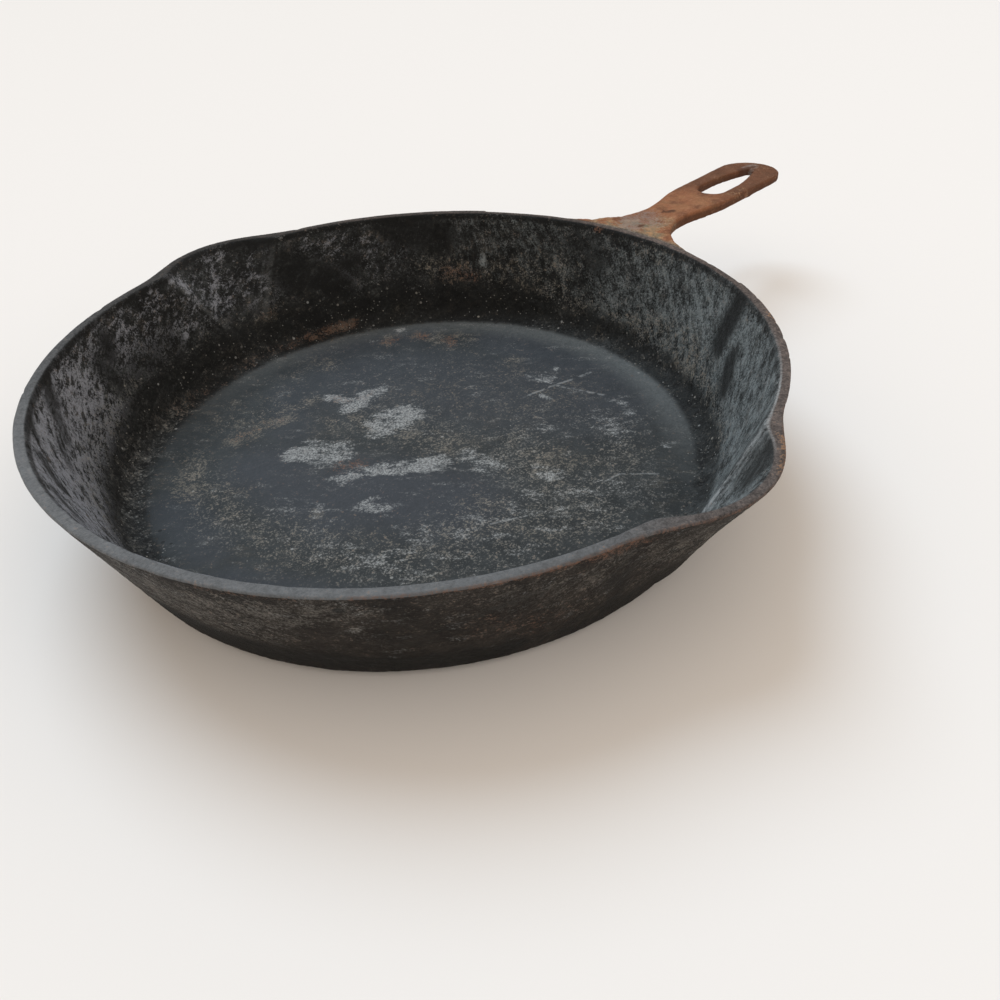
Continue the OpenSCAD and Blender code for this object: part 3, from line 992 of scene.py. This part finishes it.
def makeIron():
    shader = iron.node_tree.nodes["Principled BSDF"]
    place = put("TexCoord").outputs["Object"]
    split = put("SeparateXYZ")
    feed(split.inputs, place)
    x, y, z = split.outputs
    radius = hypot(x, y)
    marks = {kind: readMark(kind) for kind in markKinds}
    across = readMark("across")
    steel = readMark("steel")

    inner = times(remap(across, 0.35, 0.65, 1, 0), remap(z, 2 * mm, 3 * mm))
    onHandle = times(remap(across, 1.25, 2.2), remap(x, 60 * mm, 75 * mm), remap(z, 26 * mm, 36 * mm))
    topEdge = times(remap(z, 50 * mm, 50.5 * mm), remap(across, 0.03, 0.13), remap(across, 1.1, 1.3, 1, 0))
    left = remap(maths("SUBTRACT", y, x), -60 * mm, 60 * mm)    # 1 on the left as seen from the front

    cloud, blotch, fleck, speck, salt = [
        noise(place, kind) for kind in ("cloud", "blotch", "fleck", "speck", "salt")]
    other = noise(vectors("MULTIPLY", place, (1, 1, 1.3)), "other")
    wiped = noise(vectors("MULTIPLY", spin(place, math.radians(50)), (0.42, 1.0, 1.0)), "wiped")
    # flakes on the wall run down it slantwise, one way on the left and the other on the right
    twisted = spin(place, times(z, mixNumber(left, -6.0, 9.5)))
    squash = put("CombineXYZ")
    feed(squash.inputs, 1.0, 1.0, mixNumber(left, 0.5, 1.15))
    squashed = vectors("MULTIPLY", twisted, squash.outputs[0])
    streak = noise(squashed, "streak")
    spots = noise(squashed, "spots")
    flake = together((streak, 0.45), (fleck, 0.25), (salt, 0.3))
    speckled = together((fleck, 0.3), (speck, 0.3), (salt, 0.4))
    dried = together((wiped, 0.68), (speck, 0.1), (salt, 0.26))
    grit = swingOf(salt, 0.15, 1.0)

    # inner wall: soot, grey and brown haze, then flakes scoured back to grey iron, lighter and bluer on the
    # left as painted light, with spots of soot left
    wall = mixColour(blotch, "soot", "wallBlack")
    wall = mixColour(times(remap(other, 0.45, 1.0), cloud, 0.9), wall, "wallGrey")
    wall = mixColour(times(remap(fleck, 0.5, 1.0), remap(cloud, 0.8, 0.2), 0.7), wall, "wallBrown")
    # painted light: scoured iron on the left is lighter and bluer, standing in for light on the wall that the
    # daylight leaves in shade
    bare = mixColour(left, "scouredRight", "scouredLeftAndLit")
    bareCover = mixNumber(left, cover(marks["scour"], flake, 0.55), cover(marks["scour"], flake, 0.3))
    bareCover = times(bareCover, remap(spots, 0.62, 0.8, 1.0, mixNumber(left, 0.5, 0.1)))
    wall = mixColour(bareCover, wall, bare)
    wall = mixColour(times(cover(marks["pepper"], speckled, 0.1), 0.6), wall, "pepper")
    wall = shade(wall, mixNumber(bareCover, swingOf(speckled, 0.25, 1.75), swingOf(speckled, 0.55, 1.4)))
    crease = creaseDistance(x, y, z, radius)
    for middle, halfWidth, strength in creaseLines:
        away = maths("ABSOLUTE", maths("SUBTRACT", crease, middle * mm))
        line = times(remap(away, 0.3 * halfWidth * mm, 1.5 * halfWidth * mm, 1, 0), strength,
                     remap(fleck, 0.0, 0.8, 0.3, 1.0), remap(z, 10 * mm, 26 * mm), mixNumber(left, 1.0, 0.12))
        wall = mixColour(line, wall, "worn")
    # painted shade: a dark line under the rim's inner edge, where the rim meets the wall
    underRimShade = times(remap(z, 47.8 * mm, 49.2 * mm), readMark("underRimShade"))
    wall = mixColour(underRimShade, wall, "soot")

    # cooking floor: wiped slate with blue and brown clouds, the blue at the back right also painted
    # reflection, a polished ring at the back painted as a highlight, and pale specks
    ragged = times(speckled, mixNumber(left, 1.2 * mm, 4.5 * mm))
    floor = times(inner, remap(add(radius, ragged), 106 * mm, 109.6 * mm, 1, 0))
    slate = mixColour(blotch, "floorDark", "floorSlate")
    slate = mixColour(times(remap(wiped, 0.45, 1.0), cloud, 0.6), slate, "floorBrown")
    # bluish wiped patches, and painted reflection at the back right where the back wall shades the floor
    slate = mixColour(times(marks["smooth"], 0.75), slate, "floorBlueAndSheen")
    # painted highlight and lifted shade: a pale polished ring at the floor's edge, strongest at the back,
    # where the back wall shades the floor
    turn = math.radians(30)
    back = remap(vectors("DOT_PRODUCT", place, (math.cos(turn), math.sin(turn), 0)), -20 * mm, 60 * mm)
    ringHighlight = times(remap(radius, 90 * mm, 105 * mm), back, mixNumber(left, 0.66, 0.42))
    slate = mixColour(ringHighlight, slate, "floorRingPolishAndHighlight")
    slate = mixColour(times(cover(marks["pepper"], speckled, 0.13), 0.8), slate, "pepper")
    slate = shade(slate, swingOf(speckled, 0.72, 1.28))

    # outside: brown-black with a dry grey haze
    outside = mixColour(blotch, "outsideBlack", "outsideGrey")
    outside = mixColour(times(cover(marks["scour"], flake, 0.35), grit), outside, "outsideScoured")
    outside = shade(outside, swingOf(speckled, 0.5, 1.45))

    # tan and lime deposits, rust, soot, pits and scratches lie over all three
    colour = mixColour(inner, outside, wall)
    colour = mixColour(floor, colour, slate)
    broken = remap(other, 0.15, 0.85, 0.55, 1.15, smooth=False)
    tanCover = times(cover(times(marks["tan"], broken), speckled, 0.25), grit, mixNumber(floor, 1.0, 0.62))
    colour = mixColour(tanCover, colour, "tan")
    limeCover = times(cover(times(marks["lime"], broken), dried, 0.28), grit)
    colour = mixColour(limeCover, colour, "lime")
    rustCover = times(cover(marks["rust"], speckled, 0.25), grit)
    colour = mixColour(rustCover, colour, "rust")
    sootCover = times(cover(marks["soot"], flake, 0.25), invert(marks["rust"]), 0.9)
    colour = mixColour(sootCover, colour, "soot")
    colour = mixColour(times(pitMarks(place), inner, 0.85), colour, "soot")
    scored = times(scratchMarks(place), floor, remap(fleck, 0.2, 0.7))
    colour = mixColour(times(scored, 0.4), colour, "lime")

    # crumbs along the foot of the wall and thinly over the floor
    footBand = times(remap(radius, 102 * mm, 108 * mm), remap(z, 28 * mm, 8 * mm))
    for size, share in crumbs:
        cell = put("TexVoronoi")
        feed([cell.inputs["Vector"], cell.inputs["Scale"]], place, 1 / size)
        chance = put("SeparateColor")
        feed(chance.inputs, cell.outputs["Color"])
        amount = times(add(footBand, times(marks["pepper"], 0.8)), share)
        chosen = remap(maths("SUBTRACT", chance.outputs[0], invert(amount)), 0, 0.02)
        crumb = times(remap(cell.outputs["Distance"], 0.16, 0.28, 1, 0), chosen, inner)
        tone = mixColour(chance.outputs[2], "crumb", "lime")
        colour = mixColour(times(crumb, remap(chance.outputs[1], 0, 1, 0.12, 0.75)), colour, tone)

    # rim: burnished at the front and left, brown towards the handle and sooty behind, worn pale with a
    # painted highlight on its inner edge near the right spout
    rim = mixColour(readMark("brown"), "rimDark", "rimBrown")
    rim = mixColour(steel, rim, "rimSteel")
    rim = shade(rim, mixNumber(steel, remap(speckled, 0.2, 0.8, 0.4, 1.6, smooth=False),
                               swingOf(speckled, 0.7, 1.2)))
    rim = mixColour(times(rustCover, remap(across, 0.7, 1.0), 0.7), rim, "rust")
    # worn pale inner edge of the rim, partly a painted highlight along it
    innerEdgeWearAndHighlight = times(remap(across, 0.02, 0.1), remap(across, 0.16, 0.3, 1, 0))
    innerEdgeWearAndHighlight = times(innerEdgeWearAndHighlight, readMark("edgeWearAndHighlight"), remap(salt, 0, 1, 0.4, 1.0))
    rim = mixColour(innerEdgeWearAndHighlight, rim, "worn")
    rim = mixColour(times(tanCover, remap(across, 0.1, 0.4), 0.8), rim, "rimOrange")
    colour = mixColour(topEdge, colour, rim)

    # handle: dry rust, darker in blotches and towards the tip, with painted shade on its sides, crusted where
    # it leaves the rim
    dry = mixColour(remap(other, 0.2, 1.1, 0.0, 0.55), "handleRust", "handleDarkAndShade")
    dry = mixColour(times(remap(blotch, 0.5, 1.0), 0.25), dry, "handleTan")
    dry = mixColour(times(remap(x, 190 * mm, 212 * mm), 0.66), dry, "handleDarkAndShade")
    # painted shade: the handle's sides below its flat top are darkened
    dry = mixColour(remap(z, 49.4 * mm, 47.6 * mm, 0.0, 0.8), dry, "handleDarkAndShade")
    crust = mixColour(fleck, "handleGreen", "handleTan")
    crust = mixColour(remap(other, 0.55, 0.9), crust, "handleRust")
    dry = mixColour(cover(marks["tan"], speckled, 0.3), dry, crust)
    dry = mixColour(times(cover(marks["scour"], speckled, 0.3), 0.6), dry, "handleGrey")
    dry = shade(dry, swingOf(speckled, 0.8, 1.15))
    dry = mixColour(sootCover, dry, "handleDarkAndShade")
    colour = mixColour(onHandle, colour, dry)

    # burnished and wiped places shine a little, rust and lime are dull
    shine = mixNumber(inner, 0.75, 0.72)
    shine = mixNumber(floor, shine, mixNumber(speckled, 0.56, 0.72))
    shine = mixNumber(bareCover, shine, 0.56)
    shine = mixNumber(topEdge, shine, mixNumber(steel, 0.85, 0.5))
    dusty = maths("MAXIMUM", maths("MAXIMUM", rustCover, limeCover), onHandle)
    shine = mixNumber(dusty, shine, 0.92)

    bump = put("Bump")
    height = add(times(fleck, 0.6), times(speck, 0.35), times(bareCover, 0.25))
    feed([bump.inputs[name] for name in ("Height", "Strength", "Distance")],
         height, mixNumber(floor, 0.8, 0.35), 0.4 * mm)
    feed([shader.inputs[name] for name in ("Base Color", "Roughness", "Normal", "Specular IOR Level")],
         colour, shine, bump.outputs[0], 0.2)
    print("iron finish made:", len(iron.node_tree.nodes), "nodes")


addCamera()
addStudio()
pan = makeBowl()
cutOrJoin(pan, makeHandle(), "UNION")
growSkin(pan)
roughen(pan)
thinSkin(pan)
keepInBox(pan)
paintMarks(pan)
makeIron()
pan.data.materials.clear()
pan.data.materials.append(iron)
bpy.context.view_layer.objects.active = pan
pan.select_set(True)
bpy.ops.object.shade_smooth()
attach(pan, "root")
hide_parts("skillet")
